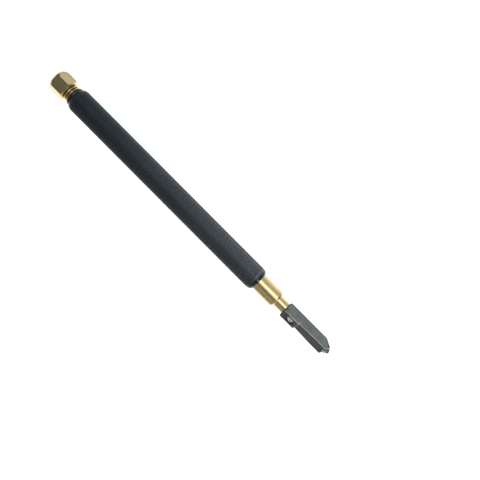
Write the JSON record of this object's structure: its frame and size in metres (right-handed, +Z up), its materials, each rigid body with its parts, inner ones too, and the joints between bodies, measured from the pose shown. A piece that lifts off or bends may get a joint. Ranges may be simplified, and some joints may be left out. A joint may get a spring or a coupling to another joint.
{
  "type": "glass cutter",
  "caption": "Pencil-shaped oil-fed glass cutter with a knurled barrel, hexagonal screw cap, brass nose and a sprung swivelling head that carries a small cutting wheel",
  "frame": {"origin": "on the tool's long axis, in the middle of its overall length", "axes": "+X along the tool towards the cutting wheel, +Z up and parallel to the wheel's axle, -Y the side of the head that carries the clamp screw"},
  "size_m": [0.175, 0.0114, 0.0114],
  "materials": {
    "black_metal": "black anodised, fine diamond knurl",
    "brass": "turned, satin",
    "black_rubber": "smooth",
    "spring_steel": "bright wire",
    "gunmetal": "gunmetal grey, satin",
    "cotton": "twisted wick",
    "plated_screw": "bright plated",
    "carbide": "ground tungsten carbide",
    "dark_steel": "dark hardened steel"
  },
  "bodies": {
    "barrel": {"handle_barrel": "black_metal", "nose_piece": "brass", "nose_seal_ring": "black_rubber", "valve_spring": "spring_steel"},
    "cap_ring": {"cap_seal_ring": "black_rubber"},
    "cap": {"end_cap": "brass"},
    "stem": {"valve_stem": "brass", "stem_seal_ring": "black_rubber", "valve_seal": "black_rubber", "valve_nut": "brass"},
    "head": {"head_body": "gunmetal", "wheel_axle": "dark_steel", "head_wick": "cotton"},
    "screw": {"clamp_screw": "plated_screw"},
    "wheel": {"cutting_wheel": "carbide"}
  },
  "joints": [
    {"name": "cap_travel", "type": "slide", "parent": "barrel", "child": "cap_ring", "axis": [-1, 0, 0], "range_m": [0, 0.0075]},
    {"name": "cap_turn", "type": "hinge", "parent": "cap_ring", "child": "cap", "pos_m": [-0.08, 0, 0], "axis": [-1, 0, 0], "range_deg": [0, 2160]},
    {"name": "head_press", "type": "slide", "parent": "barrel", "child": "stem", "axis": [-1, 0, 0], "range_m": [0, 0.0009], "stiffness_N_per_m": 1500, "springref_m": -0.003, "deforming": ["valve_spring"]},
    {"name": "head_turn", "type": "hinge", "parent": "stem", "child": "head", "pos_m": [0.0596, 0, 0], "axis": [1, 0, 0], "continuous": true},
    {"name": "screw_turn", "type": "hinge", "parent": "head", "child": "screw", "pos_m": [0.0645, -0.0032, 0], "axis": [0, -1, 0], "range_deg": [0, 360]},
    {"name": "wheel_spin", "type": "hinge", "parent": "head", "child": "wheel", "pos_m": [0.08505, -0.0002, 0], "axis": [0, 0, 1], "continuous": true}
  ],
  "couplings": [
    {"joint": "cap_travel", "follows": "cap_turn", "m_per_rad": 0.00019894}
  ]
}
